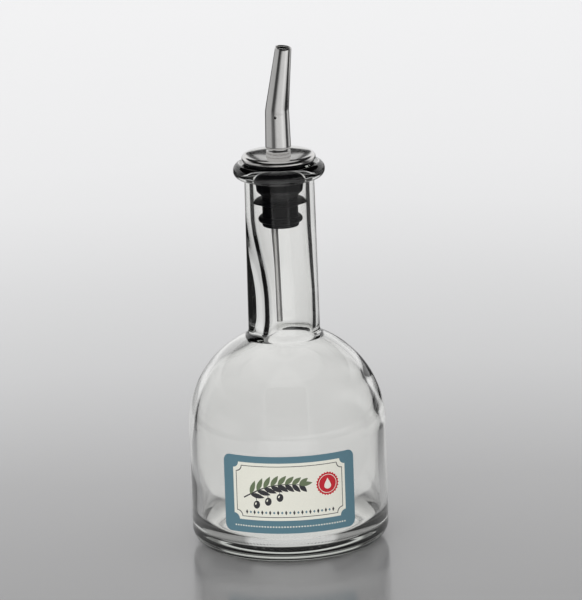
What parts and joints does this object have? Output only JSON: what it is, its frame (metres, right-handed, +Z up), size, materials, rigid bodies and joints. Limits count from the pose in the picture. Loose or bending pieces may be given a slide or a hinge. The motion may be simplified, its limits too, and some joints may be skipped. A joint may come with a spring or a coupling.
{
  "type": "oil and vinegar bottle",
  "caption": "Clear glass table bottle with domed shoulders, a long neck and a front label, closed by a finned rubber stopper with a bent steel pouring spout.",
  "frame": {"origin": "centre of the bottle's bearing ring, on the surface that it stands on", "axes": "+Z up along the bottle's axis, -Y towards the front with the label, +X to the right seen from the front"},
  "size_m": [0.0794, 0.0797, 0.2046],
  "materials": {
    "glass": "clear pressed glass, polished",
    "label": "printed paper, satin",
    "stopper": "moulded black rubber, satin",
    "steel": "stainless steel, bright polished"
  },
  "bodies": {
    "bottle": {"glass_body": "glass", "glass_shoulder": "glass", "glass_neck": "glass", "label": "label"},
    "stopper": {"stopper": "stopper"},
    "pourer": {"collar": "steel", "spout": "steel", "air_tube": "steel"}
  },
  "joints": [
    {"name": "stopper_pull", "type": "slide", "parent": "bottle", "child": "stopper", "axis": [0, 0, 1], "range_m": [0, 0.075]},
    {"name": "pourer_turn", "type": "hinge", "parent": "stopper", "child": "pourer", "pos_m": [0, 0, 0.15844], "axis": [0, 0, 1], "continuous": true}
  ]
}
